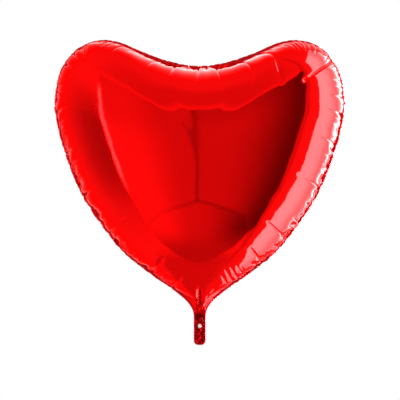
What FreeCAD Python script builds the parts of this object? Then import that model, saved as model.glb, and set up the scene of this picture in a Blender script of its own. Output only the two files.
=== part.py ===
import FreeCAD, Part
import math
import os

# Heart-shaped foil balloon, inflated, with its flat neck and self-sealing valve.
# Millimetres. +Z is up, the front faces -Y and +X is right. The origin is where
# the ribbon is tied, at the root of the neck.

V = FreeCAD.Vector
doc = FreeCAD.newDocument("heart_foil_balloon")

# ---------------------------------------------------------------- dimensions
sheet = doc.addObject("Spreadsheet::Sheet", "Dimensions")
SIZES = [
    ("depth_half", 191.0, "half of the inflated depth at its deepest"),
    ("dome_centre_z", 430.0, "height of the deepest point"),
    ("film", 0.8, "foil film of the two panels"),
    ("bond", 0.3, "melted sealing layer between the two panels"),
    ("seal_width", 8.0, "width of the seam around the heart"),
    ("seal_width_neck", 3.0, "width of the seam beside the neck"),
    ("heart_foot", 0.5, "lowest edge of the panels above the tie point"),
    ("throat_width", 22.0, "opening in the seam for the valve"),
    ("throat_height", 13.0, "how far the opening reaches up"),
    ("throat_depth", 3.2, "opening front to back"),
    ("neck_width", 31.0, "flat neck across"),
    ("neck_top", -1.4, "upper edge of the neck, below the fold"),
    ("neck_length", 78.6, "neck from its upper edge to its end"),
    ("neck_corner", 6.0, "rounding of the neck's end corners"),
    ("neck_film", 0.4, "foil film of the neck"),
    ("neck_front_y", -0.8, "front face of the neck's front film"),
    ("neck_seal", 3.0, "edge weld of the neck"),
    ("inlet_radius", 5.6, "filling hole"),
    ("inlet_drop", 28.6, "filling hole below the neck's upper edge"),
    ("valve_width", 20.0, "flat valve tube across"),
    ("valve_film", 0.2, "valve film"),
    ("valve_front_y", -0.3, "front face of the front valve film"),
    ("valve_inlet_length", 46.0, "valve tube inside the neck"),
    ("valve_weld", 2.0, "side weld of the valve tube"),
    ("valve_punch", 6.6, "hole in the front valve film behind the inlet"),
    ("lip_foot", 2.0, "lower edge of the valve lips above the tie point"),
    ("lip_length", 95.0, "valve lips inside the balloon"),
    ("lip_top_width", 14.0, "valve lips across at the outlet"),
    ("cross_seal_drop", 4.0, "cross weld below the neck's upper edge"),
    ("cross_seal_height", 6.0, "cross weld, bottom to top"),
    ("print_drop", 2.0, "release print below the neck's upper edge"),
    ("print_height", 12.0, "release print, bottom to top"),
    ("print_depth", 0.1, "thickness of the release print"),
]
for row, (name, value, meaning) in enumerate(SIZES, start=1):
    sheet.set("A%d" % row, meaning)
    sheet.set("B%d" % row, str(value))
    sheet.setAlias("B%d" % row, name)
doc.recompute()


def size(name):
    return float(sheet.get(name))


# ------------------------------------------------------------ heart silhouette
# Right half of the inflated outline, seam included, from the neck's root round
# the lobe to the notch between the lobes, as (x, z).
NECK_ROOT = (15.5, 0.5)
NECK_FLARE = [(16.6, 7.0), (20.5, 17.0), (29.5, 30.5), (46.0, 46.5)]
LOWER_SIDE = [(86.0, 76.0), (131.0, 107.0), (206.0, 169.0), (278.0, 263.0), (322.0, 340.0)]
WIDEST = [(358.0, 438.0), (377.5, 520.0), (379.5, 566.0), (367.0, 632.0)]
LOBE_TOP = [(336.0, 682.0), (298.0, 709.0), (250.0, 719.0), (204.0, 711.0)]
NOTCH = [(155.0, 690.0), (105.0, 671.0), (56.0, 657.5), (20.0, 651.7), (0.0, 651.0)]
OUTLINE = [NECK_ROOT] + NECK_FLARE + LOWER_SIDE + WIDEST + LOBE_TOP + NOTCH

outline_curve = Part.BSplineCurve()
outline_curve.interpolate(Points=[V(x, 0, z) for x, z in OUTLINE])
STATIONS = 44
FOOT_STEPS = 6
SIDE_START = 0.013


def smooth_step(value):
    value = max(0.0, min(1.0, value))
    return value * value * (3.0 - 2.0 * value)


def seam_inset(z):
    """Seam width at a height: narrow beside the neck, full from the flare on."""
    narrow, full = size("seal_width_neck"), size("seal_width")
    return narrow + (full - narrow) * smooth_step(z / 60.0)


def outline_station(fraction, extra):
    """A point of the right half outline, moved inwards by the seam and extra."""
    low, high = outline_curve.FirstParameter, outline_curve.LastParameter
    at = low + (high - low) * fraction
    point = outline_curve.value(at)
    along = outline_curve.tangent(at)[0]
    inward = V(-along.z, 0, along.x)
    moved = point + inward * (seam_inset(point.z) + extra)
    return V(max(moved.x, 0.0), 0, moved.z)


def rim_stations(extra):
    """Half rim of the dome: a round foot at the throat, then the inset outline."""
    side = outline_station(SIDE_START, extra)
    low = size("heart_foot") + size("seal_width_neck") / 2.0 + extra
    stations = []
    for index in range(FOOT_STEPS):
        turn = 0.5 * math.pi * index / FOOT_STEPS
        stations.append(V(side.x * math.sin(turn), 0, side.z - (side.z - low) * math.cos(turn)))
    for index in range(STATIONS + 1):
        fraction = SIDE_START + (1.0 - SIDE_START) * (index / float(STATIONS)) ** 1.5
        stations.append(outline_station(fraction, extra))
    stations[-1].x = 0.0
    return stations


# ------------------------------------------------------------------ the domes
RINGS = 18


def even_steps(count):
    return [index / float(count - 1) for index in range(count)]


def smooth_through(points):
    """A cubic curve through points at even parameters."""
    curve = Part.BSplineCurve()
    curve.interpolate(Points=points, Parameters=even_steps(len(points)))
    return curve


def half_width(rim_curve, z):
    """Half width of the lower heart at a height, found by halving the rim."""
    low, high = 0.0, 0.8
    for _ in range(40):
        middle = 0.5 * (low + high)
        if rim_curve.value(middle).z < z:
            low = middle
        else:
            high = middle
    return rim_curve.value(low).x


def round_share(share):
    """Height across a full section, 1 in the middle and 0 at the seam."""
    return max(0.0, 1.0 - share ** 2.2) ** 0.55


def half_dome(side, base_y, extra):
    """One half of a dome over its inset rim, as a smooth face, and its rim edge."""
    rim = rim_stations(extra)
    rim_curve = smooth_through(rim)
    centre = V(0, 0, size("dome_centre_z"))
    deepest = size("depth_half") - size("film") - size("bond") / 2.0
    loops = []
    for ring in range(1, RINGS):
        share = math.sin(0.5 * math.pi * ring / RINGS)
        loop = []
        for edge in rim:
            point = centre + (edge - centre) * share
            if point.z < centre.z:
                drop = (centre.z - point.z) / (centre.z - rim[0].z)
                across = point.x / half_width(rim_curve, point.z)
                height = deepest * (1.0 - drop * drop) * round_share(across)
            else:
                height = deepest * round_share(share)
            loop.append(V(side * point.x, base_y - height, point.z))
        loops.append(smooth_through(loop))
    loops.append(smooth_through([V(side * edge.x, base_y, edge.z) for edge in rim]))
    crown = V(0, base_y - deepest, centre.z)
    columns = []
    for pole in range(loops[0].NbPoles):
        spine = [crown] + [loop.getPole(pole + 1) for loop in loops]
        columns.append(smooth_through(spine))
    surface = Part.BSplineSurface()
    surface.buildFromPolesMultsKnots(
        [column.getPoles() for column in columns],
        loops[0].getMultiplicities(), columns[0].getMultiplicities(),
        loops[0].getKnots(), columns[0].getKnots(),
        False, False, 3, 3)
    return surface.toShape(), loops[-1].toShape()


def outline_wire(y):
    """The closed outer outline of the seam in one plane."""
    right = outline_curve.copy().toShape()
    right.translate(V(0, y, 0))
    left = right.mirror(V(0, 0, 0), V(1, 0, 0))
    root_x, root_z = NECK_ROOT
    foot = Part.makeLine(V(root_x, y, root_z), V(-root_x, y, root_z))
    return Part.Wire(Part.__sortEdges__([right, left, foot]))


def panel_shape():
    """The front foil panel: a dome of film with a flat seam lip all round."""
    film = size("film")
    low_y = -size("bond") / 2.0
    top_y = low_y - film
    outer = [half_dome(side, top_y, 0.0) for side in (1, -1)]
    inner = [half_dome(side, low_y, film) for side in (1, -1)]
    outer_rim = Part.Wire(Part.__sortEdges__([edge for face, edge in outer]))
    inner_rim = Part.Wire(Part.__sortEdges__([edge for face, edge in inner]))
    edge_top = outline_wire(top_y)
    edge_low = outline_wire(low_y)
    lip_top = Part.makeFace([edge_top, outer_rim], "Part::FaceMakerBullseye")
    lip_low = Part.makeFace([edge_low, inner_rim], "Part::FaceMakerBullseye")
    rims = [edge.extrude(V(0, film, 0)) for edge in edge_top.Edges]
    domes = [face for face, edge in outer + inner]
    skin = Part.makeCompound(domes + lip_top.Faces + lip_low.Faces + rims)
    skin.sewShape(0.01)
    solid = Part.makeSolid(skin.Shells[0])
    throat = Part.makeBox(
        size("throat_width"), size("throat_depth"), size("throat_height") + 2.0,
        V(-size("throat_width") / 2.0, -size("throat_depth") / 2.0, -2.0 + size("heart_foot")))
    cut = solid.cut(throat)
    return max(cut.Solids, key=lambda piece: piece.Volume)


def seal_shape():
    """The melted strip that joins the two panels, open at the throat."""
    bond = size("bond")
    y = -bond / 2.0
    inner_right = smooth_through([V(p.x, y, p.z) for p in rim_stations(size("film"))]).toShape()
    inner_left = inner_right.mirror(V(0, 0, 0), V(1, 0, 0))
    inner = Part.Wire(Part.__sortEdges__([inner_right, inner_left]))
    ring = Part.makeFace([outline_wire(y), inner], "Part::FaceMakerBullseye")
    strip = ring.extrude(V(0, bond, 0))
    throat = Part.makeBox(
        size("throat_width"), 4.0, size("throat_height") + 2.0,
        V(-size("throat_width") / 2.0, -2.0, -2.0 + size("heart_foot")))
    cut = strip.cut(throat)
    return max(cut.Solids, key=lambda piece: piece.Volume)


def add_feature(label, shape, turn=None):
    """A piece whose shape is made from the named sizes above."""
    piece = doc.addObject("Part::Feature", label)
    piece.Label = label
    piece.Shape = shape
    piece.Placement = FreeCAD.Placement(V(0, 0, 0), turn or FreeCAD.Rotation())
    return piece


pieces = []
front_panel = panel_shape()
rear_panel = front_panel.mirror(V(0, 0, 0), V(0, 1, 0))
pieces.append(add_feature("front_foil_panel", front_panel))
pieces.append(add_feature("rear_foil_panel", rear_panel))
pieces.append(add_feature("perimeter_heat_seal", seal_shape()))


# ------------------------------------------------- flat films, seals and welds
def body_plane(body, role):
    return next(item for item in body.Origin.OriginFeatures if item.Role == role)


def flat_piece(label, front_y, depth, draw):
    """A flat piece in the XZ plane, drawn face on, front_y to front_y + depth."""
    body = doc.addObject("PartDesign::Body", label)
    body.Label = label
    sketch = body.newObject("Sketcher::SketchObject", label + "_outline")
    sketch.AttachmentSupport = [(body_plane(body, "XZ_Plane"), "")]
    sketch.MapMode = "FlatFace"
    draw(sketch)
    doc.recompute()
    pad = body.newObject("PartDesign::Pad", label + "_pad")
    pad.Profile = sketch
    pad.Reversed = True
    pad.setExpression("Length", depth)
    body.Tip = pad
    body.setExpression("Placement.Base.y", front_y)
    doc.recompute()
    pieces.append(body)
    return body


def closed_chain(sketch, corners):
    """Straight lines through corners given as pairs of sheet expressions."""
    places = [V(evaluate(a), evaluate(b), 0) for a, b in corners]
    count = len(places)
    first = sketch.GeometryCount
    for index in range(count):
        line = Part.LineSegment(places[index], places[(index + 1) % count])
        sketch.addGeometry(line, False)
    for index in range(count):
        here, after = first + index, first + (index + 1) % count
        sketch.addConstraint(Sketcher.Constraint("Coincident", here, 2, after, 1))
    for index, (a, b) in enumerate(corners):
        pin_point(sketch, first + index, 1, a, b)


def pin_point(sketch, geometry, end, across, up):
    """Bind one sketch point to two sheet expressions."""
    for kind, text in (("DistanceX", across), ("DistanceY", up)):
        value = evaluate(text)
        number = sketch.addConstraint(Sketcher.Constraint(kind, -1, 1, geometry, end, value))
        sketch.setExpression("Constraints[%d]" % number, text)


def evaluate(text):
    """Value of a sheet expression such as Dimensions.neck_width / 2."""
    return float(sheet.evalExpression(text))


import Sketcher

D = "Dimensions."
HALF_NECK = D + "neck_width / 2"
NECK_HIGH = D + "neck_top"
NECK_LOW = D + "neck_top - " + D + "neck_length"


def box_corners(half, high, low):
    return [("-(%s)" % half, low), (half, low), (half, high), ("-(%s)" % half, high)]


def punch_hole(sketch, radius):
    """Add the filling hole to a flat piece's sketch."""
    up = NECK_HIGH + " - " + D + "inlet_drop"
    centre = V(0, evaluate(up), 0)
    circle = sketch.addGeometry(Part.Circle(centre, V(0, 0, 1), evaluate(radius)), False)
    sketch.addConstraint(Sketcher.Constraint("PointOnObject", circle, 3, -2))
    drop = sketch.addConstraint(Sketcher.Constraint("DistanceY", -1, 1, circle, 3, centre.y))
    sketch.setExpression("Constraints[%d]" % drop, up)
    ring = sketch.addConstraint(Sketcher.Constraint("Radius", circle, evaluate(radius)))
    sketch.setExpression("Constraints[%d]" % ring, radius)


def round_end(body, label):
    """Round the two lower corners of a neck film."""
    corners = []
    low = evaluate(NECK_LOW)
    for number, edge in enumerate(body.Shape.Edges, start=1):
        box = edge.BoundBox
        straight = box.XLength < 1e-3 and box.ZLength < 1e-3
        if straight and abs(box.ZMin - low) < 1e-3:
            corners.append("Edge%d" % number)
    pad = body.Tip
    rounding = body.newObject("PartDesign::Fillet", label + "_corners")
    rounding.Base = (pad, corners)
    rounding.setExpression("Radius", D + "neck_corner")
    body.Tip = rounding
    doc.recompute()


def draw_box(half, high, low):
    return lambda sketch: closed_chain(sketch, box_corners(half, high, low))


def draw_punched(half, high, low, radius):
    def draw(sketch):
        closed_chain(sketch, box_corners(half, high, low))
        punch_hole(sketch, radius)
    return draw


neck_outline = draw_box(HALF_NECK, NECK_HIGH, NECK_LOW)
punched_neck = draw_punched(HALF_NECK, NECK_HIGH, NECK_LOW, D + "inlet_radius")
front_neck = flat_piece("neck_front_foil", D + "neck_front_y", D + "neck_film", punched_neck)
round_end(front_neck, "neck_front_foil")
rear_y = "-(" + D + "neck_front_y) - " + D + "neck_film"
rear_neck = flat_piece("neck_rear_foil", rear_y, D + "neck_film", neck_outline)
round_end(rear_neck, "neck_rear_foil")


def draw_edge_seal(sketch):
    """A U of weld down both sides and across the end of the neck."""
    inner = HALF_NECK + " - " + D + "neck_seal"
    floor = NECK_LOW + " + " + D + "neck_seal"
    closed_chain(sketch, [
        ("-(%s)" % HALF_NECK, NECK_LOW), (HALF_NECK, NECK_LOW), (HALF_NECK, NECK_HIGH),
        (inner, NECK_HIGH), (inner, floor), ("-(%s)" % inner, floor),
        ("-(%s)" % inner, NECK_HIGH), ("-(%s)" % HALF_NECK, NECK_HIGH)])


seal_y = D + "neck_front_y + " + D + "neck_film"
seal_depth = "-2 * (" + seal_y + ")"
edge_seal = flat_piece("neck_edge_seal", seal_y, seal_depth, draw_edge_seal)
round_end(edge_seal, "neck_edge_seal")

HALF_VALVE = D + "valve_width / 2"
VALVE_LOW = NECK_HIGH + " - " + D + "valve_inlet_length"
valve_outline = draw_box(HALF_VALVE, NECK_HIGH, VALVE_LOW)
valve_rear_y = "-(" + D + "valve_front_y) - " + D + "valve_film"
punched_valve = draw_punched(HALF_VALVE, NECK_HIGH, VALVE_LOW, D + "valve_punch")
flat_piece("valve_inlet_front_film", D + "valve_front_y", D + "valve_film", punched_valve)
flat_piece("valve_inlet_rear_film", valve_rear_y, D + "valve_film", valve_outline)

weld_y = D + "valve_front_y + " + D + "valve_film"
weld_depth = "-2 * (" + weld_y + ")"
weld_inner = HALF_VALVE + " - " + D + "valve_weld"


def draw_weld(sign):
    """One side weld of the valve tube, sign 1 for right and -1 for left."""
    near, far = "%d * (%s)" % (sign, weld_inner), "%d * (%s)" % (sign, HALF_VALVE)
    return lambda sketch: closed_chain(
        sketch, [(near, VALVE_LOW), (far, VALVE_LOW), (far, NECK_HIGH), (near, NECK_HIGH)])


flat_piece("valve_right_weld", weld_y, weld_depth, draw_weld(1))
flat_piece("valve_left_weld", weld_y, weld_depth, draw_weld(-1))

print_high = NECK_HIGH + " - " + D + "print_drop"
print_low = print_high + " - " + D + "print_height"
release_outline = draw_box(weld_inner + " - 1.5", print_high, print_low)
flat_piece("valve_release_print", weld_y, D + "print_depth", release_outline)

cross_high = NECK_HIGH + " - " + D + "cross_seal_drop"
cross_low = cross_high + " - " + D + "cross_seal_height"
cross_outline = draw_box(HALF_VALVE, cross_high, cross_low)
cross_depth = D + "valve_front_y - (" + seal_y + ")"
flat_piece("cross_seal_front", seal_y, cross_depth, cross_outline)
cross_rear_y = "-(" + D + "valve_front_y)"
flat_piece("cross_seal_rear", cross_rear_y, cross_depth, cross_outline)


def draw_lip(sketch):
    """A valve lip that narrows towards its outlet."""
    top = D + "lip_foot + " + D + "lip_length"
    narrow = D + "lip_top_width / 2"
    closed_chain(sketch, [
        ("-(%s)" % HALF_VALVE, D + "lip_foot"), (HALF_VALVE, D + "lip_foot"),
        (narrow, top), ("-(%s)" % narrow, top)])


flat_piece("valve_front_lip", D + "valve_front_y", D + "valve_film", draw_lip)
flat_piece("valve_rear_lip", valve_rear_y, D + "valve_film", draw_lip)

# --------------------------------------------------------------------- checks
doc.recompute()
for item in doc.Objects:
    if "Invalid" in item.State or "Error" in item.State:
        raise ValueError(item.Label + " did not build")
for piece in pieces:
    if piece.Shape.isNull() or not piece.Shape.isValid():
        raise ValueError(piece.Label + " has no valid shape")

os.makedirs("parts", exist_ok=True)
for piece in pieces:
    piece.Shape.exportStep("parts/" + piece.Label + ".step")
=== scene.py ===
import bmesh
import bpy
import math
import numpy as np
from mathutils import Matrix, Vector
from mathutils.geometry import delaunay_2d_cdt


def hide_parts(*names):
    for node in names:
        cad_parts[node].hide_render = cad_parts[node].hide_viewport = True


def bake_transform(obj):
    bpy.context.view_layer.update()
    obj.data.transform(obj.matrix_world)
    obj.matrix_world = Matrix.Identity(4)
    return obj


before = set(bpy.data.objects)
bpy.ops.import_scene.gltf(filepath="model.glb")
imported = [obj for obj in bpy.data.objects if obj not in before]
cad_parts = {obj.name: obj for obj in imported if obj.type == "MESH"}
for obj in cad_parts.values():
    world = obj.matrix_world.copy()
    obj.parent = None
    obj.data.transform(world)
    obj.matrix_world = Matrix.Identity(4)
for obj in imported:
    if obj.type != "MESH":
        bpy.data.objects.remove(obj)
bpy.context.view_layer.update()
scene = bpy.context.scene

# The balloon's two panels are cut flat, welded round the rim and filled with gas
# by a cloth run. The filled film is then fitted to the frame's silhouette, made
# finer, and creased. Lengths are in millimetres until a mesh is made from them.

# ---------------------------------------------------- sizes, in millimetres
# Right half of the inflated silhouette, seam included, from the neck's end up
# the side and round the lobe to the notch, as (x, z).
NECK_END = [(0, -80), (8, -79.5), (12.8, -76.8), (15.2, -71.5)]
NECK_SIDE = [(15.5, -64), (15.5, -44), (15.5, -24), (15.5, -8)]
FLARE = [(16.3, 4), (20.0, 16), (29.0, 30), (46, 46.5)]
LOWER_EDGE = [(86, 76), (131, 107), (206, 169), (278, 263), (322, 340)]
SIDE_EDGE = [(358, 438), (377.5, 520), (379.5, 566), (367, 632)]
LOBE = [(336, 682), (298, 709), (250, 719), (204, 711)]
NOTCH = [(155, 690), (105, 671), (56, 657.5), (20, 651.7), (0, 651)]
OUTLINE = NECK_END + NECK_SIDE + FLARE + LOWER_EDGE + SIDE_EDGE + LOBE + NOTCH

# The middle, as (x, z), how far each panel bulges there, and the powers of the
# bulge's profile, (1 - share ** ROUND) ** STEEP, from the middle to the seam.
CENTRE = np.array([0.0, 430.0])
DEPTH = 190.0
ROUND, STEEP = 2.2, 0.55
# Half the thickness of the neck, the seam's width round the heart and down the
# neck, and the height and radius of the hole in front.
NECK_HALF = 0.7
SEAM = 8.0
NECK_SEAM = 3.0
HOLE_Z, HOLE_RADIUS = -30.0, 5.6

# The gas run. The film starts shallower than it ends: SLACK is the share of its
# extra length that is spread sideways at the start. By frame RAMP it has moved to
# its filled place, and it is held there firmly at the seam and softly elsewhere.
SLACK = 0.35
RAMP = 10
FRAMES, QUICK_FRAMES = 40, 12
HOLD_SEAM = 0.8
HOLD_NEAR = 0.1
HOLD_INNER = 0.05
HOLD_NECK = 0.05
PRESSURE = 50
UNEVEN = 3e-4

# The flat cut's mesh: the size of its triangles, each from near to far from the
# seam and between two heights, and the gap between rows of points one step apart.
BANDS = [(4.0, 0, 900, -200, 10), (7.0, 0, 50, 10, 1000),
         (9.0, 50, 135, 10, 1000), (19.0, 135, 900, 10, 1000)]
ROW_GAP = 0.866
HOLE_POINTS = 20


def curve_through(points, steps):
    """Catmull-Rom curve through points."""
    p = np.asarray(points, float)
    q = np.vstack([2 * p[0] - p[1], p, 2 * p[-1] - p[-2]])
    out = []
    for i in range(1, len(q) - 2):
        a, b, c, d = q[i - 1:i + 3]
        for k in range(steps):
            t = k / steps
            out.append(0.5 * (2 * b + (c - a) * t + (2 * a - 5 * b + 4 * c - d) * t ** 2
                              + (3 * b - a - 3 * c + d) * t ** 3))
    out.append(p[-1])
    return np.array(out)


def resample(line, spacing):
    """Points along a polyline, spacing(z) apart."""
    run = np.r_[0, np.cumsum(np.linalg.norm(np.diff(line, axis=0), axis=1))]
    at = [0.0]
    while at[-1] < run[-1]:
        z = np.interp(at[-1], run, line[:, 1])
        at.append(at[-1] + spacing(z))
    at = np.array(at) * run[-1] / at[-1]
    return np.stack([np.interp(at, run, line[:, k]) for k in range(2)], 1)


def smooth(t):
    """0 below t = 0, 1 above t = 1, and a smooth turn between."""
    t = np.clip(t, 0, 1)
    return t * t * (3 - 2 * t)


def offset(loop, width):
    """A closed loop moved inwards by width at each point."""
    ahead = np.roll(loop, -1, axis=0) - np.roll(loop, 1, axis=0)
    ahead /= np.linalg.norm(ahead, axis=1)[:, None]
    return loop + np.stack([-ahead[:, 1], ahead[:, 0]], 1) * np.asarray(width)[:, None]


def inside(points, loop):
    """Which points lie inside a closed loop."""
    x, y = points.T
    hit = np.zeros(len(points), bool)
    for (xi, yi), (xj, yj) in zip(loop, np.roll(loop, 1, axis=0)):
        if yi != yj:
            hit ^= ((yi > y) != (yj > y)) & (x < (xj - xi) * (y - yi) / (yj - yi) + xi)
    return hit


def distance(points, loop):
    """Distance of each point from a closed loop."""
    best = np.full(len(points), 1e9)
    for a, b in zip(loop, np.roll(loop, -1, axis=0)):
        run = b - a
        t = np.clip(((points - a) @ run) / (run @ run), 0, 1)
        best = np.minimum(best, np.linalg.norm(points - (a + t[:, None] * run), axis=1))
    return best


def lattice(low, high, step):
    """Points of equal triangles that fill a rectangle."""
    rows = int((high[1] - low[1]) / (step * ROW_GAP)) + 1
    out = []
    for r in range(rows):
        x = np.arange(low[0] + (r % 2) * step / 2, high[0], step)
        out.append(np.stack([x, np.full(len(x), low[1] + r * step * ROW_GAP)], 1))
    return np.vstack(out)


def seam_width(z):
    """The seam narrows from the heart to the neck."""
    return NECK_SEAM + (SEAM - NECK_SEAM) * smooth(np.asarray(z) / 60)


class Envelope:
    """The inflated shape, and the flat cut whose length along each ray from the
    middle is the length of the domed film."""

    def __init__(self):
        half = resample(curve_through(OUTLINE, 16), lambda z: 2.0 if z < 40 else 5.0)
        half[0, 0] = half[-1, 0] = 0
        loop = np.vstack([half, (half * [-1, 1])[1:-1][::-1]])
        seam = offset(loop, seam_width(loop[:, 1]))[:len(half)]
        seam[0, 0] = seam[-1, 0] = 0
        away = seam - CENTRE
        self.angle = np.arctan2(away[:, 0], -away[:, 1])
        self.reach = np.hypot(away[:, 0], away[:, 1])
        # Away from the seam the two lobes run together without a sharp valley.
        turns = np.linspace(self.angle[0], 2 * math.pi - self.angle[0], 721)
        folded = np.interp(np.minimum(turns, 2 * math.pi - turns), self.angle, self.reach)
        kernel = np.exp(-0.5 * (np.arange(-170, 171) / 64) ** 2)
        folded = np.convolve(np.pad(folded, 170, mode="edge"), kernel / kernel.sum(), "valid")
        share = smooth((self.angle - 1.9) / 0.9)
        self.round_reach = self.reach + share * (np.interp(self.angle, turns, folded) - self.reach)
        low = seam[:, 1] < CENTRE[1] + 1
        self.side_z, self.side_x = seam[low, 1], seam[low, 0]
        self.share = np.sin(0.5 * math.pi * np.linspace(0, 1, 61))
        x = np.sin(self.angle)[:, None] * self.reach[:, None] * self.share
        z = CENTRE[1] - np.cos(self.angle)[:, None] * self.reach[:, None] * self.share
        y = self.height(x, z)
        step = np.sqrt(np.diff(x) ** 2 + np.diff(y) ** 2 + np.diff(z) ** 2)
        self.length = np.hstack([np.zeros((len(x), 1)), np.cumsum(step, axis=1)])
        # A lower dome over a wider outline, with the same length along each ray.
        self.slack_reach = self.reach + SLACK * (self.length[:, -1] - self.reach)
        flat_run = self.slack_reach[:, None] * self.share
        low, high = np.zeros(len(x)), np.ones(len(x))
        for _ in range(30):
            middle = 0.5 * (low + high)
            dome = middle[:, None] * y
            total = np.sqrt(np.diff(flat_run) ** 2 + np.diff(dome) ** 2).sum(axis=1)
            short = total < self.length[:, -1]
            low, high = np.where(short, middle, low), np.where(short, high, middle)
        self.slack_rise = low

    def height(self, x, z):
        """How far the filled front stands out over (x, z)."""
        x = np.abs(x)
        drop = np.clip((CENTRE[1] - z) / (CENTRE[1] - 2.0), 0, 1)
        across = x / np.maximum(np.interp(z, self.side_z, self.side_x), 1e-6)
        below = (1 - drop ** 2) * np.clip(1 - across ** ROUND, 0, 1) ** STEEP
        turn = np.arctan2(x, CENTRE[1] - z)
        far = np.hypot(x, z - CENTRE[1])
        reach = np.interp(turn, self.angle, self.reach)
        inner = np.interp(turn, self.angle, self.round_reach)
        part = far / (reach + (inner - reach) * (1 - smooth((far / reach - 0.5) / 0.5)))
        above = np.clip(1 - part ** ROUND, 0, 1) ** STEEP
        return DEPTH * np.where(z < CENTRE[1], below, above)

    def rows(self, turn):
        """Length along the ray at each share, for rays at these angles."""
        at = np.interp(turn, self.angle, np.arange(len(self.angle)))
        i = np.minimum(at.astype(int), len(self.angle) - 2)
        w = (at - i)[:, None]
        return (1 - w) * self.length[i] + w * self.length[i + 1]

    def flat_rim(self):
        """The right half of the flat cut's outline, each ray at its full length."""
        direction = np.stack([np.sin(self.angle), -np.cos(self.angle)], 1)
        return CENTRE + direction * self.length[:, -1:]

    def dome(self, flat):
        """Where points of the flat cut lie on the filled and on the slack front."""
        side = np.sign(flat[:, 0])
        away = flat - CENTRE
        turn = np.arctan2(np.abs(away[:, 0]), -away[:, 1])
        far = np.hypot(away[:, 0], away[:, 1])
        rows = self.rows(turn)
        share = np.array([np.interp(f, r, self.share) for f, r in zip(far, rows)])
        reach = np.interp(turn, self.angle, self.reach) * share
        x, z = reach * np.sin(turn), CENTRE[1] - reach * np.cos(turn)
        rise = self.height(x, z)
        full = np.stack([x * side, -rise - NECK_HALF * (share < 0.9999), z], 1)
        reach = np.interp(turn, self.angle, self.slack_reach) * share
        rise = rise * np.interp(turn, self.angle, self.slack_rise)
        slack = np.stack([reach * np.sin(turn) * side, -rise, CENTRE[1] - reach * np.cos(turn)], 1)
        return full, slack


def flat_cut(shape):
    """The meshed flat panel: its points, the n seam points first, its faces, and
    which of them are punched out for the hole."""
    rim = shape.flat_rim()
    rim[0, 0] = rim[-1, 0] = 0
    half = resample(rim, lambda z: 4.0 if z < 10 else 6.0)
    half[0, 0] = half[-1, 0] = 0
    seam = np.vstack([half, (half * [-1, 1])[1:-1][::-1]])
    low, high = seam.min(0), seam.max(0)
    rng = np.random.default_rng(3)
    points = []
    for step, near, far, floor, roof in BANDS:
        p = lattice(low - step, high + step, step)
        p = p[(p[:, 1] >= floor) & (p[:, 1] < roof)]
        p = p[inside(p, seam)]
        d = distance(p, seam)
        p = p[(d > max(near, 0.55 * step)) & (d <= far)]
        points.append(p + rng.uniform(-0.13, 0.13, p.shape) * step)
    points = np.vstack(points)
    hole_z = CENTRE[1] - np.interp((CENTRE[1] - HOLE_Z) / shape.reach[0], shape.share,
                                   shape.length[0])
    turn = np.arange(HOLE_POINTS) * math.tau / HOLE_POINTS
    hole = np.stack([HOLE_RADIUS * np.cos(turn), hole_z + HOLE_RADIUS * np.sin(turn)], 1)
    away = np.linalg.norm(points - [0, hole_z], axis=1)
    points = points[(away > HOLE_RADIUS + 1.6) | (away < HOLE_RADIUS - 1.8)]
    n = len(seam)
    links = [(i, (i + 1) % n) for i in range(n)]
    links += [(n + i, n + (i + 1) % HOLE_POINTS) for i in range(HOLE_POINTS)]
    cloud = np.vstack([seam, hole, points])
    made = delaunay_2d_cdt([Vector(p) for p in cloud], links, [], 1, 1e-6)
    flat = np.array([tuple(v) for v in made[0]])
    faces = []
    for f in made[2]:
        a, b, c = flat[list(f)]
        faces.append(list(f) if np.cross(b - a, c - a) > 0 else list(f)[::-1])
    middles = flat[np.array(faces)].mean(axis=1)
    punched = np.linalg.norm(middles - [0, hole_z], axis=1) < HOLE_RADIUS
    return flat, faces, punched, n


# ------------------------------------------------------- inflation by the gas
def seam_rings(rim, width):
    """The middle and the edge of the seam outside a rim."""
    rings = []
    for part in (0.5, 1.0):
        out = offset(rim, -width * part)
        rings.append(np.stack([out[:, 0], np.zeros(len(rim)), out[:, 1]], 1))
    return rings


def weigh(film, name, weights):
    """A vertex group with a weight for each point."""
    group = film.vertex_groups.new(name=name)
    for i, weight in enumerate(weights):
        group.add([i], float(weight), "REPLACE")


def let_gas_in(film, frames):
    """Runs the cloth and returns where its points end up."""
    cloth = film.modifiers.new("cloth", "CLOTH")
    s = cloth.settings
    s.quality = 5
    s.mass = 0.3
    s.tension_stiffness = s.compression_stiffness = s.shear_stiffness = 80
    s.tension_damping = s.compression_damping = s.shear_damping = 5
    s.bending_stiffness = 0.02
    s.bending_damping = 0.5
    s.air_damping = 2
    s.pin_stiffness = 1
    s.use_pressure = True
    s.uniform_pressure_force = PRESSURE
    s.vertex_group_pressure = "gas"
    s.vertex_group_mass = "held"
    s.effector_weights.gravity = 0
    cloth.collision_settings.use_collision = False
    cloth.point_cache.frame_start = 1
    cloth.point_cache.frame_end = 200
    for f in range(1, frames + 1):
        scene.frame_set(f)
    shaped = film.evaluated_get(bpy.context.evaluated_depsgraph_get()).to_mesh()
    place = np.zeros(len(film.data.vertices) * 3, np.float32)
    shaped.vertices.foreach_get("co", place)
    return place.reshape(-1, 3).astype(float) * 1000


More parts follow.
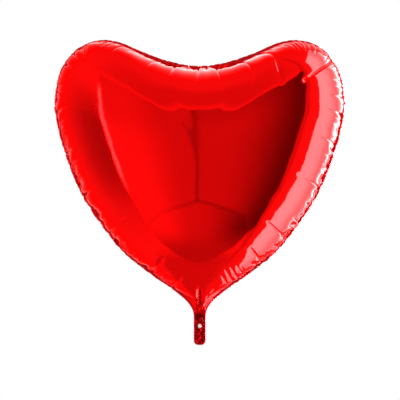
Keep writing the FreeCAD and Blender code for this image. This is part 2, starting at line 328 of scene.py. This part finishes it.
def inflate(frames):
    """Fills the two welded panels with gas. The points are the front panel, the
    rear panel without the shared seam, then the two seam rings from first on."""
    shape = Envelope()
    flat, faces, punched, n = flat_cut(shape)
    count = len(flat)
    to_seam = distance(flat, flat[:n])
    inner = np.arange(n, count)
    front, slack = shape.dome(flat)
    front[:n, 1] = slack[:n, 1] = 0
    width = seam_width(front[:n, 2])
    filled = [front, (front * [1, -1, 1])[inner]] + seam_rings(front[:n][:, [0, 2]], width)
    empty = [slack, (slack * [1, -1, 1])[inner]] + seam_rings(slack[:n][:, [0, 2]], width)
    start, cut = np.vstack(filled) / 1000, np.vstack(empty) / 1000
    target = start * 1000
    start[:, 1] += np.random.default_rng(5).normal(0, UNEVEN, len(start))
    rear_of = np.arange(count)
    rear_of[inner] = count + np.arange(count - n)
    first = count + count - n
    rear_faces = [[int(rear_of[i]) for i in f[::-1]] for f in faces]
    seam_faces = []
    for i in range(n):
        j = (i + 1) % n
        seam_faces.append([i, first + i, first + j, j])
        seam_faces.append([first + i, first + n + i, first + n + j, first + j])
    mesh = bpy.data.meshes.new("envelope")
    mesh.from_pydata(cut.tolist(), [], faces + rear_faces + seam_faces)
    mesh.update()
    film = bpy.data.objects.new("envelope", mesh)
    scene.collection.objects.link(film)
    bpy.context.view_layer.objects.active = film
    film.shape_key_add(name="Basis")
    key = film.shape_key_add(name="filled")
    key.data.foreach_set("co", start.ravel())
    for f, value in ((1, 0.0), (2, 0.02), (RAMP, 1.0)):
        key.value = value
        key.keyframe_insert("value", frame=f)
    depth = np.r_[to_seam, to_seam[inner], np.zeros(2 * n)]
    z = target[:, 2]
    weigh(film, "gas", smooth((z[:first] + 4) / 24))
    hold = HOLD_INNER + (HOLD_NEAR - HOLD_INNER) * np.exp(-depth / 25)
    hold[np.r_[np.arange(n), np.arange(first, first + 2 * n)]] = HOLD_SEAM
    hold[z < 0] = np.maximum(hold[z < 0], HOLD_NECK)
    weigh(film, "held", hold)
    place = let_gas_in(film, frames)
    bpy.data.objects.remove(film)
    scene.frame_set(1)
    return dict(place=place, target=target, flat=flat, depth=depth, n=n, first=first,
                front=faces, rear=rear_faces, punched=punched)


# -------------------------------------------------- from the gas to the pieces
# How far each film lies from the middle of the seam.
LAP = 0.35
# Share of the gas run's puckers left far from the seam, and how far they reach in.
TAUT, REACH = 0.03, 42.0
# A shallow fold, deepest in front, from the neck up into the heart.
VALLEY, REAR_VALLEY = 15.0, 0.6
# Sharp creases running in from the seam: (degrees round the middle from the
# bottom, length seen from the front, depth, half-width), right side positive.
# The film is steep there, so over the surface they are OVER_DOME times as long,
# and they are pressed in PRESSED times as deep.
CREASES = [(-140.7, 22, 1.2, 2.0), (-145.7, 36, 1.4, 2.0), (-156.5, 40, 1.5, 2.0),
           (-159.2, 20, 1.0, 1.6), (-165.5, 54, 1.8, 2.2), (-179.5, 66, 2.0, 2.4),
           (170.0, 70, 1.8, 2.4), (157.0, 64, 1.8, 2.2), (149.4, 64, 1.8, 2.4),
           (140.8, 28, 1.3, 1.8), (138.9, 22, 1.0, 1.6), (137.1, 26, 1.2, 1.6),
           (135.3, 20, 1.0, 1.6), (123.9, 74, 3.6, 4.0), (110.0, 34, 1.5, 2.0),
           (103.0, 40, 1.6, 2.0), (91.7, 44, 1.7, 2.0), (72.4, 56, 1.8, 2.2),
           (44.5, 58, 2.0, 2.4), (29.2, 44, 1.8, 2.2), (20.0, 34, 1.0, 1.6),
           (17.4, 38, 1.1, 1.6), (15.0, 40, 1.1, 1.6), (12.8, 36, 1.0, 1.6),
           (-133.1, 26, 1.8, 2.2), (-131.3, 44, 2.2, 3.0), (-127.4, 30, 1.8, 2.2),
           (-122.5, 28, 1.8, 2.2), (-104.3, 34, 1.6, 2.0), (-83.4, 40, 1.7, 2.0),
           (-68.4, 42, 1.7, 2.0), (-47.6, 52, 1.9, 2.4), (-21.7, 44, 1.8, 2.2),
           (-11.5, 36, 1.4, 2.0)]
OVER_DOME, PRESSED = 2.2, 2.8
CREASE_SEED = 11
# The neck's crumples: (x, z, degrees, rise, half-width).
FOLDS = [(-6, -20, 35, 1.5, 2.2), (7, -12, -50, -1.3, 2.0), (2, -46, 12, 1.4, 2.6),
         (-9, -55, -38, -1.5, 2.4), (9, -62, 58, 1.2, 2.0), (-3, -70, -8, -1.1, 2.4),
         (11, -36, 80, 1.0, 1.8), (-12, -38, 84, -1.1, 2.0), (4, -4, 6, 1.2, 2.6)]


def crumple(x, z):
    """How far the crumpled neck stands out of its own plane."""
    out = 1.1 * np.sin(x / 5.2 + z / 9.0) * np.sin(z / 7.5 - 0.6)
    for x0, z0, turn, rise, width in FOLDS:
        a = math.radians(turn)
        off = (x - x0) * math.sin(a) - (z - z0) * math.cos(a)
        along = (x - x0) * math.cos(a) + (z - z0) * math.sin(a)
        out += rise * np.exp(-np.abs(off) / width) * np.exp(-(along / 14) ** 2)
    return out * smooth((4 - z) / 12) * smooth((z + 86) / 10)


def settle(film):
    """Fits the silhouette and depth, keeping the puckers, and crumples the neck."""
    n, first = film["n"], film["first"]
    place, target = film["place"].copy(), film["target"]
    ring = np.arange(first + n, first + 2 * n)
    gap = (target - place)[ring][:, [0, 2]]
    for _ in range(40):
        gap = 0.5 * gap + 0.25 * (np.roll(gap, 1, axis=0) + np.roll(gap, -1, axis=0))
    away = place[:, [0, 2]] - CENTRE
    turn, far = np.arctan2(away[:, 0], -away[:, 1]), np.hypot(away[:, 0], away[:, 1])
    order = np.argsort(turn[ring])
    at = turn[ring][order]
    rim = np.interp(turn, at, far[ring][order], period=math.tau)
    share = np.clip(far / rim, 0, 1) ** 2
    for k, axis in enumerate((0, 2)):
        place[:, axis] += share * np.interp(turn, at, gap[order, k], period=math.tau)
    loose = TAUT + (1 - TAUT) * np.exp(-(film["depth"] / REACH) ** 2)
    loose = (loose * smooth((target[:, 2] + 2) / 16))[:, None]
    place = target * (1 - loose) + place * loose
    place[:, 1] += crumple(place[:, 0], place[:, 2])
    return place


def finer(loop):
    """One step of subdivision of a closed loop."""
    even = 0.75 * loop + 0.125 * (np.roll(loop, 1, axis=0) + np.roll(loop, -1, axis=0))
    odd = 0.5 * (loop + np.roll(loop, -1, axis=0))
    return np.stack([even, odd], 1).reshape(-1, loop.shape[1])


def subdivide(points, faces):
    """One step of Loop subdivision of a triangle mesh with open edges."""
    sides = np.sort(np.vstack([faces[:, [0, 1]], faces[:, [1, 2]], faces[:, [2, 0]]]), axis=1)
    tips = np.r_[faces[:, 2], faces[:, 0], faces[:, 1]]
    edges, owner = np.unique(sides, axis=0, return_inverse=True)
    owner = owner.ravel()
    used = np.bincount(owner)
    ends = points[edges[:, 0]] + points[edges[:, 1]]
    over = np.zeros_like(ends)
    np.add.at(over, owner, points[tips])
    shared = (used == 2)[:, None]
    odd = np.where(shared, 0.375 * ends + 0.125 * over, 0.5 * ends)
    near, count = np.zeros_like(points), np.zeros(len(points))
    edge_near, edge_count = np.zeros_like(points), np.zeros(len(points))
    rim = edges[used == 1]
    for a, b in ((0, 1), (1, 0)):
        np.add.at(near, edges[:, a], points[edges[:, b]])
        np.add.at(count, edges[:, a], 1)
        np.add.at(edge_near, rim[:, a], points[rim[:, b]])
        np.add.at(edge_count, rim[:, a], 1)
    pull = (3 / (8 * np.maximum(count, 1)))[:, None]
    even = (1 - count[:, None] * pull) * points + pull * near
    even = np.where(edge_count[:, None] > 0, 0.75 * points + 0.125 * edge_near, even)
    a, b, c = faces.T
    ab, bc, ca = (owner.reshape(3, -1) + len(points))
    made = np.vstack([np.stack(t, 1) for t in ((a, ab, ca), (ab, b, bc), (ca, bc, c), (ab, bc, ca))])
    return np.vstack([even, odd]), made


def piece(name, points, faces, slot, **values):
    """A smooth mesh from millimetres, with point values for its material."""
    mesh = bpy.data.meshes.new(name)
    mesh.from_pydata((np.asarray(points) / 1000).tolist(), [], [list(map(int, f)) for f in faces])
    mesh.update()
    mesh.polygons.foreach_set("use_smooth", np.ones(len(mesh.polygons), bool))
    for key, value in values.items():
        mesh.attributes.new(key, "FLOAT", "POINT").data.foreach_set("value", value.astype(np.float32))
    made = bpy.data.objects.new(name, mesh)
    scene.collection.objects.link(made)
    return made


class Seam:
    """The seam line of the flat cut, and the creases that run in from it."""

    def __init__(self, film):
        loop = film["flat"][:film["n"]]
        self.loop = loop
        ends = np.vstack([loop, loop[:1]])
        self.run = np.r_[0, np.cumsum(np.linalg.norm(np.diff(ends, axis=0), axis=1))]
        ahead = np.roll(loop, -2, axis=0) - np.roll(loop, 2, axis=0)
        ahead /= np.linalg.norm(ahead, axis=1)[:, None]
        self.inward = np.stack([-ahead[:, 1], ahead[:, 0]], 1)
        turn = np.degrees(np.arctan2(loop[:, 0], CENTRE[1] - loop[:, 1]))
        order = np.argsort(turn)
        rng = np.random.default_rng(CREASE_SEED)
        chosen = [(at, round(OVER_DOME * long), deep, half) for at, long, deep, half in CREASES]
        extra = []
        at = -170.0
        while at < 176:
            at += rng.uniform(1.6, 4.2)
            if abs(at) > 9:
                extra.append((at, rng.uniform(18, 70), rng.uniform(0.5, 1.1),
                              rng.uniform(1.4, 2.2)))
        made = np.array(chosen + extra)
        made[:, 0] = np.interp(made[:, 0], turn[order], self.run[:-1][order])
        self.creases = made

    def gap(self, run, at):
        """Distance along the seam, the short way round."""
        off = np.abs(run - at)
        return np.minimum(off, self.run[-1] - off)

    def nearest(self, points):
        """Each point's distance from the seam, and how far round that is."""
        best, run = np.full(len(points), 1e9), np.zeros(len(points))
        for i, a in enumerate(self.loop):
            step = self.loop[(i + 1) % len(self.loop)] - a
            long = math.hypot(*step)
            t = np.clip(((points - a) @ step) / long ** 2, 0, 1)
            off = np.linalg.norm(points - (a + t[:, None] * step), axis=1)
            closer = off < best
            best = np.where(closer, off, best)
            run = np.where(closer, self.run[i] + t * long, run)
        return best, run

    def groove(self, off, run):
        """How deep the creases are pressed in."""
        out = np.zeros(len(run))
        for at, long, deep, half in self.creases:
            share = np.clip(off / (1.2 * long), 0, 1)
            along = smooth(share / 0.15) * (1 - share ** 3)
            wide = half * (1 + 0.6 * share)
            out += PRESSED * deep * along * np.exp(-self.gap(run, at) / wide)
        return out

    def pull(self, off, run):
        """In-plane pull of the seam towards the middle at each crease."""
        amount = np.zeros(len(run))
        for at, long, deep, half in self.creases:
            amount += 0.9 * deep * np.exp(-self.gap(run, at) / (1.5 * half))
        amount *= np.exp(-off / 14)
        way = [np.interp(run, self.run, np.r_[self.inward[:, k], self.inward[:1, k]])
               for k in range(2)]
        return np.stack([amount * way[0], np.zeros(len(run)), amount * way[1]], 1)


def corner_normals(points, faces):
    """Unit normals at the points of a triangle mesh."""
    a, b, c = (points[faces[:, k]] for k in range(3))
    flat = np.cross(b - a, c - a)
    out = np.zeros_like(points)
    for k in range(3):
        np.add.at(out, faces[:, k], flat)
    return out / np.maximum(np.linalg.norm(out, axis=1), 1e-9)[:, None]


def film_panel(name, place, film, faces, side):
    """One foil panel with its half of the neck; side is -1 in front, 1 behind."""
    used, faces = np.unique(np.array(faces), return_inverse=True)
    faces = faces.reshape(-1, 3)
    n, count = film["n"], len(film["flat"])
    flat = np.vstack([film["flat"], film["flat"][n:], np.zeros((2 * n, 2))])
    points = np.hstack([place, film["depth"][:, None], flat])[used]
    points[:, 1] += side * LAP * (points[:, 3] < 1e-6)
    for _ in range(2):
        points, faces = subdivide(points, faces)
    near = (points[:, 3] < 250) & (points[:, 2] > 20)
    seam = Seam(film)
    off, run = seam.nearest(points[near][:, 4:])
    normal = corner_normals(points[:, :3], faces)[near]
    fade = smooth((points[near][:, 2] - 30) / 40)[:, None]
    points[near, :3] -= fade * normal * seam.groove(off, run)[:, None]
    points[near, :3] += fade * seam.pull(off, run)
    x, z = points[:, 0], points[:, 2]
    valley = np.exp(-((x + 0.5) / 6.0) ** 2) * smooth((z - 6) / 26) * smooth((84 - z) / 30)
    points[:, 1] -= side * VALLEY * valley * (REAR_VALLEY if side > 0 else 1.0)
    # Darker red is painted over the neck below the heart and along the valley fold. It is painted
    # shade of the crumpled neck and of the fold's bottom. The same mask also sets where the crumple
    # bumps are pressed in.
    worn = np.maximum(smooth((18 - z) / 36), np.clip(1.3 * valley - 0.2, 0, 0.5))
    # Near-black red is painted where the neck pinches into the heart. It is painted shade.
    pinch = np.exp(-((z + 4) / 9) ** 2) * np.exp(-(x / 14) ** 2)
    return piece(name, points[:, :3], faces, "red_foil", to_seam=points[:, 3],
                 worn=worn, pinch=pinch)


def border(name, place, film):
    """The welded band all round, two films thick."""
    n, first = film["n"], film["first"]
    flat = film["flat"][:n]
    loops = [np.hstack([p, flat]) for p in (place[:n], place[first:first + n],
                                            place[first + n:first + 2 * n])]
    loops = [finer(finer(p)) for p in loops]
    seam = Seam(film)
    off, run = seam.nearest(loops[0][:, 3:])
    moved = seam.pull(off, run) * smooth((loops[0][:, 2] - 30) / 40)[:, None]
    loops = [p[:, :3] + moved for p in loops]
    rings = [p + [0, -LAP, 0] for p in loops] + [p + [0, LAP, 0] for p in loops[::-1]]
    m = len(rings[0])
    faces = []
    for r in range(len(rings) - 1):
        for i in range(m):
            j = (i + 1) % m
            faces.append([r * m + i, (r + 1) * m + i, (r + 1) * m + j, r * m + j])
    return piece(name, np.vstack(rings), faces, "sealed_seam")


def crumpled(node, name):
    """A valve piece that follows the neck's crumples."""
    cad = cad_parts[node]
    mesh = cad.data.copy()
    mesh.transform(cad.matrix_world)
    made = bmesh.new()
    made.from_mesh(mesh)
    cuts = [((0, 0, z / 1000), (0, 0, 1)) for z in np.arange(-82, 3, 2.0)]
    cuts += [((x / 1000, 0, 0), (1, 0, 0)) for x in np.arange(-16, 17, 2.0)]
    for at, normal in cuts:
        everything = made.verts[:] + made.edges[:] + made.faces[:]
        bmesh.ops.bisect_plane(made, geom=everything, dist=1e-6, plane_co=at, plane_no=normal)
    for v in made.verts:
        x, z = np.array([v.co.x * 1000]), np.array([v.co.z * 1000])
        v.co.y += float(crumple(x, z)[0]) / 1000
    made.to_mesh(mesh)
    made.free()
    mesh.name = name
    out = bpy.data.objects.new(name, mesh)
    scene.collection.objects.link(out)
    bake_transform(out)
    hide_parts(node)
    return out


film = inflate(FRAMES)
place = settle(film)
kept = [f for f, gone in zip(film["front"], film["punched"]) if not gone]
front = film_panel("front_foil", place, film, kept, -1)
rear = film_panel("rear_foil", place, film, film["rear"], 1)
rim = border("welded_border", place, film)
for made, nodes in ((front, ["front_foil_panel", "neck_front_foil"]),
                    (rear, ["rear_foil_panel", "neck_rear_foil"]),
                    (rim, ["perimeter_heat_seal", "neck_edge_seal"])):
    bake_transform(made)
    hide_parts(*nodes)
VALVE = {"valve_inlet_front_film": ("inlet_front_film", "valve_film"),
         "valve_inlet_rear_film": ("inlet_rear_film", "valve_film"),
         "valve_right_weld": ("inlet_right_weld", "valve_film"),
         "valve_left_weld": ("inlet_left_weld", "valve_film"),
         "valve_release_print": ("release_print", "release_ink"),
         "cross_seal_front": ("front_cross_seal", "sealed_seam"),
         "cross_seal_rear": ("rear_cross_seal", "sealed_seam")}
valve = {name: crumpled(node, name) for node, (name, slot) in VALVE.items()}


# ------------------------------------------------------------ materials
class Graph:
    """Short names for building a shader."""

    def __init__(self, tree):
        self.tree = tree

    def node(self, kind, inputs=None, **settings):
        made = self.tree.nodes.new(kind)
        for key, value in settings.items():
            setattr(made, key, value)
        for key, value in (inputs or {}).items():
            self.put(made.inputs[key], value)
        return made

    def put(self, socket, value):
        if isinstance(value, bpy.types.NodeSocket):
            self.tree.links.new(value, socket)
        else:
            socket.default_value = value

    def math(self, operation, a, b=0.0):
        return self.node("ShaderNodeMath", {0: a, 1: b}, operation=operation).outputs[0]

    def step(self, value, low, high, start=0.0, end=1.0):
        """Numbers: start below low, end above high, and a smooth turn between."""
        made = self.node("ShaderNodeMapRange", {"Value": value, "From Min": low, "From Max": high,
                                                "To Min": start, "To Max": end},
                         interpolation_type="SMOOTHSTEP")
        return made.outputs[0]

    def band(self, value, low, high, soft):
        """1 between low and high, 0 outside them, and soft edges."""
        up = self.step(value, low - soft, low + soft)
        down = self.step(value, high - soft, high + soft, 1.0, 0.0)
        return self.math("MULTIPLY", up, down)

    def mix(self, share, a, b):
        """Numbers: a where share is 0, b where it is 1."""
        return self.node("ShaderNodeMix", {"Factor": share, "A": a, "B": b}).outputs["Result"]

    def shade(self, share, a, b):
        """Colours: a where share is 0, b where it is 1."""
        made = self.node("ShaderNodeMix", data_type="RGBA")
        for socket, value in ((made.inputs[0], share), (made.inputs[6], a), (made.inputs[7], b)):
            self.put(socket, value)
        return made.outputs[2]

    def noise(self, where, scale, detail=2.0, rough=0.5):
        return self.node("ShaderNodeTexNoise", {"Vector": where, "Scale": scale, "Detail": detail,
                                                "Roughness": rough}).outputs["Fac"]

    def bump(self, height, distance, strength, normal=None):
        made = self.node("ShaderNodeBump", {"Height": height, "Distance": distance,
                                            "Strength": strength})
        if normal is not None:
            self.put(made.inputs["Normal"], normal)
        return made.outputs["Normal"]


def material(name):
    """A new material, its graph, its shader and the place on the object."""
    made = bpy.data.materials.new(name)
    made.use_nodes = True
    graph = Graph(made.node_tree)
    shader = made.node_tree.nodes["Principled BSDF"]
    where = graph.node("ShaderNodeTexCoord").outputs["Object"]
    return made, graph, shader, where


def foil_material():
    made, g, shader, where = material("red_metallised_foil")
    to_seam = g.node("ShaderNodeAttribute", attribute_name="to_seam").outputs["Fac"]
    near = g.step(to_seam, 0.0, 70.0, 1.0, 0.0)
    grain = g.noise(where, 900.0, 1.0)
    swell = g.noise(where, 16.0, 2.0, 0.4)
    crinkle = g.noise(where, 95.0, 3.0, 0.6)
    normal = g.bump(grain, 0.00003, 0.5)
    normal = g.bump(swell, 0.0006, 0.25, normal)
    normal = g.bump(g.math("MULTIPLY", crinkle, near), 0.0004, 0.5, normal)
    # The mask over the neck and the valley fold presses in crumple bumps there. It also darkens the
    # red there as painted shade.
    share = g.node("ShaderNodeAttribute", attribute_name="worn").outputs["Fac"]
    cells = g.node("ShaderNodeTexVoronoi", {"Vector": where, "Scale": 95.0}).outputs["Distance"]
    cells = g.math("ADD", cells, g.math("MULTIPLY", g.noise(where, 110.0, 2.0), 0.8))
    pressed = g.math("MULTIPLY", cells, g.step(share, 0.1, 1.0))
    g.put(shader.inputs["Normal"], g.bump(pressed, 0.005, 0.8, normal))
    colour = g.shade(g.noise(where, 7.0), (0.80, 0.0020, 0.0021, 1), (0.86, 0.0026, 0.0027, 1))
    # Darker and less dark patches over the crumpled neck give mottled painted shade.
    shade_mottling = g.step(g.noise(where, 120.0, 3.0), 0.3, 0.7)
    worn = g.shade(shade_mottling, (0.28, 0.001, 0.002, 1), (0.46, 0.004, 0.005, 1))
    colour = g.shade(share, colour, worn)
    # Near-black red where the neck pinches into the heart: painted shade.
    pinch = g.node("ShaderNodeAttribute", attribute_name="pinch").outputs["Fac"]
    g.put(shader.inputs["Base Color"], g.shade(pinch, colour, (0.10, 0.0006, 0.0008, 1)))
    g.put(shader.inputs["Roughness"], g.step(g.noise(where, 38.0, 3.0), 0.3, 0.7, 0.035, 0.06))
    shader.inputs["Metallic"].default_value = 1.0
    shader.inputs["Specular Tint"].default_value = (1.0, 0.5, 0.5, 1)
    return made


def seal_material():
    made, g, shader, where = material("heat_sealed_foil")
    ribs = g.node("ShaderNodeTexVoronoi", {"Vector": where, "Scale": 620.0}).outputs["Distance"]
    crinkle = g.noise(where, 160.0, 3.0, 0.6)
    normal = g.bump(crinkle, 0.0002, 0.4, g.bump(ribs, 0.00008, 0.4))
    g.put(shader.inputs["Normal"], normal)
    g.put(shader.inputs["Base Color"], g.shade(g.noise(where, 60.0), (0.42, 0.0015, 0.004, 1),
                                               (0.60, 0.0025, 0.006, 1)))
    g.put(shader.inputs["Roughness"], g.step(crinkle, 0.3, 0.7, 0.16, 0.28))
    shader.inputs["Metallic"].default_value = 1.0
    shader.inputs["Coat Weight"].default_value = 0.15
    return made


def film_material():
    made, g, shader, where = material("milky_valve_film")
    haze = g.noise(where, 220.0, 3.0)
    g.put(shader.inputs["Base Color"], g.shade(haze, (0.66, 0.62, 0.55, 1), (0.80, 0.77, 0.71, 1)))
    g.put(shader.inputs["Roughness"], g.step(haze, 0.3, 0.7, 0.25, 0.42))
    g.put(shader.inputs["Normal"], g.bump(haze, 0.0003, 0.4))
    return made


def ink_material():
    made, g, shader, where = material("release_print")
    speck = g.noise(where, 500.0, 2.0)
    g.put(shader.inputs["Base Color"], g.shade(speck, (0.16, 0.17, 0.19, 1), (0.30, 0.31, 0.33, 1)))
    g.put(shader.inputs["Roughness"], g.step(speck, 0.3, 0.7, 0.6, 0.8))
    g.put(shader.inputs["Normal"], g.bump(speck, 0.0001, 0.4))
    return made


foil, seal, milky, ink = foil_material(), seal_material(), film_material(), ink_material()


def paint(thing, made):
    """Gives every face of a piece one material."""
    thing.data.materials.clear()
    thing.data.materials.append(made)
    for face in thing.data.polygons:
        face.material_index = 0


for thing, made in ((front, foil), (rear, foil), (rim, seal)):
    paint(thing, made)
for name, thing in valve.items():
    paint(thing, ink if "print" in name else seal if "cross" in name else milky)
for name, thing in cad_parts.items():
    if "lip" in name:
        paint(thing, milky)

# ---------------------------------------------------------------- the studio
# Degrees in one radian, and the distance of the softboxes and the floor's edge.
DEGREES = 57.2958
ROOM = 2.4
FLOOR_HEIGHT = -0.65


def far_room(g, turn, tilt, wide):
    """The room seen in the mirror: two walls that meet in a corner, and the floor."""
    left = g.mix(g.step(turn, -32, -6, 1.0, 0.0), 0.80, g.step(tilt, -12, 16, 1.22, 1.02))
    right = g.mix(g.step(turn, 8, 60), g.step(tilt, 8, 48, 0.76, 0.55), 0.16)
    walls = g.mix(g.step(turn, -1.6, -0.8), left, right)
    corner = g.band(turn, -2.0, -0.6, 0.5)
    walls = g.mix(g.math("MULTIPLY", corner, 0.75), walls, 0.25)
    foot = g.math("SUBTRACT", -31.0, g.math("MULTIPLY", wide, 0.27))
    below = g.math("SUBTRACT", foot, tilt)
    ground = g.mix(g.step(turn, -6, 45), g.mix(g.step(turn, -30, -4, 1.0, 0.0), 0.82, 1.2), 0.22)
    ground = g.mix(g.step(tilt, -60, -46, 1.0, 0.0), ground, 0.62)
    room = g.mix(g.step(below, -0.6, 0.6), walls, ground)
    line = g.math("MULTIPLY", g.band(below, -1.2, 0.6, 0.5), g.step(turn, -30, 4, 0.15, 0.5))
    return g.mix(line, room, 0.25)


def pale_surround(g, turn, tilt, wide, over_edge):
    """Outside the room's opening: pale studio all round, darker at the left."""
    level = g.math("ABSOLUTE", g.math("ADD", tilt, 9.0))
    dip = g.math("MULTIPLY", g.step(level, 2.0, 46.0, 1.0, 0.0), g.step(turn, -122, -62))
    outer = g.mix(g.math("MULTIPLY", dip, g.step(turn, -40, 0, 1.0, 0.0)), 1.20, 0.52)
    over = g.mix(g.step(tilt, 55, 85), g.step(wide, 0, 80, 0.86, 1.15), 1.1)
    outer = g.mix(g.step(over_edge, 0, 8), outer, over)
    outer = g.mix(g.step(tilt, -64, -56, 1.0, 0.0), outer, g.step(turn, 30, 90, 0.80, 1.1))
    return g.mix(g.band(turn, 58, 66, 1.5), outer, 0.85)


def room_opening(g, turn, tilt, over_edge):
    """1 where the far room shows: its near floor edge is straight across."""
    ahead = g.math("COSINE", g.math("MULTIPLY", turn, 0.0174533))
    near_edge = g.math("ARCTANGENT", g.math("MULTIPLY", ahead, 2.1))
    near_edge = g.math("ADD", g.math("MULTIPLY", near_edge, DEGREES), tilt)
    height = g.math("MULTIPLY", g.step(near_edge, -0.8, 0.8),
                    g.step(over_edge, -0.8, 0.8, 1.0, 0.0))
    return g.math("MULTIPLY", g.band(turn, -56, 61, 0.6), height)


def studio_world():
    """The studio that the foil mirrors, by direction; the camera sees it white."""
    world = bpy.data.worlds.new("studio")
    world.use_nodes = True
    g = Graph(world.node_tree)
    background = world.node_tree.nodes["Background"]
    direction = g.node("ShaderNodeTexCoord").outputs["Generated"]
    axis = g.node("ShaderNodeSeparateXYZ", {0: direction}).outputs
    # Degrees round from the front, right side positive, and up from the level.
    turn = g.math("ARCTAN2", axis[0], g.math("MULTIPLY", axis[1], -1.0))
    turn = g.math("MULTIPLY", turn, DEGREES)
    tilt = g.math("MULTIPLY", g.math("ARCSINE", axis[2]), DEGREES)
    wide = g.math("ABSOLUTE", turn)
    over_edge = g.math("SUBTRACT", tilt, g.step(wide, 0, 30, 30.5, 45.0))
    studio = g.mix(room_opening(g, turn, tilt, over_edge),
                   pale_surround(g, turn, tilt, wide, over_edge), far_room(g, turn, tilt, wide))
    strip = g.math("MULTIPLY", g.band(turn, -56, -53, 0.5), g.band(tilt, -22, 30, 8.0))
    studio = g.math("ADD", studio, g.math("MULTIPLY", strip, 24.0))
    seen = g.node("ShaderNodeLightPath").outputs["Is Camera Ray"]
    background.inputs["Color"].default_value = (1, 1, 1, 1)
    g.put(background.inputs["Strength"], g.mix(seen, studio, 1.0))
    return world


def softbox(name, way, middle, across, tall, bright):
    """A light that only glossy surfaces see: direction round, height of the
    middle, width, height and brightness."""
    light = bpy.data.lights.new(name, "AREA")
    light.shape, light.size, light.size_y = "RECTANGLE", across, tall
    light.energy = bright * math.pi * across * tall
    box = bpy.data.objects.new(name, light)
    scene.collection.objects.link(box)
    a = math.radians(way)
    inward = Vector((-math.sin(a), math.cos(a), 0))
    box.location = (ROOM * math.sin(a), -ROOM * math.cos(a), middle)
    box.rotation_euler = inward.to_track_quat("-Z", "Y").to_euler()
    box.visible_camera = box.visible_diffuse = False


def pale_floor():
    """A round floor under the balloon, for soft light from below."""
    mesh = bpy.data.meshes.new("floor")
    turns = [math.tau * k / 96 for k in range(96)]
    ring = [(ROOM * math.cos(a), ROOM * math.sin(a), FLOOR_HEIGHT) for a in turns]
    mesh.from_pydata(ring, [], [list(range(len(ring)))])
    floor = bpy.data.objects.new("floor", mesh)
    scene.collection.objects.link(floor)
    made, g, shader, where = material("pale_floor")
    g.put(shader.inputs["Base Color"], g.shade(g.noise(where, 6.0), (0.60, 0.595, 0.585, 1),
                                               (0.65, 0.645, 0.635, 1)))
    shader.inputs["Roughness"].default_value = 0.7
    paint(floor, made)
    floor.visible_glossy = floor.visible_shadow = False
    return floor


def front_camera():
    lens = bpy.data.cameras.new("camera")
    lens.lens = 110
    lens.sensor_width = 36
    lens.clip_end = 100
    camera = bpy.data.objects.new("camera", lens)
    scene.collection.objects.link(camera)
    camera.location = (0.0008, -3.2, 0.2997)
    camera.rotation_euler = (math.pi / 2, 0, 0)
    return camera


scene.world = studio_world()
softbox("right_softbox", 107, 0.45, 2.66, 7.7, 90)
softbox("rear_softbox", 168, 2.5, 3.0, 6.0, 2.5)
floor = pale_floor()
scene.camera = front_camera()
scene.view_settings.view_transform = "Standard"
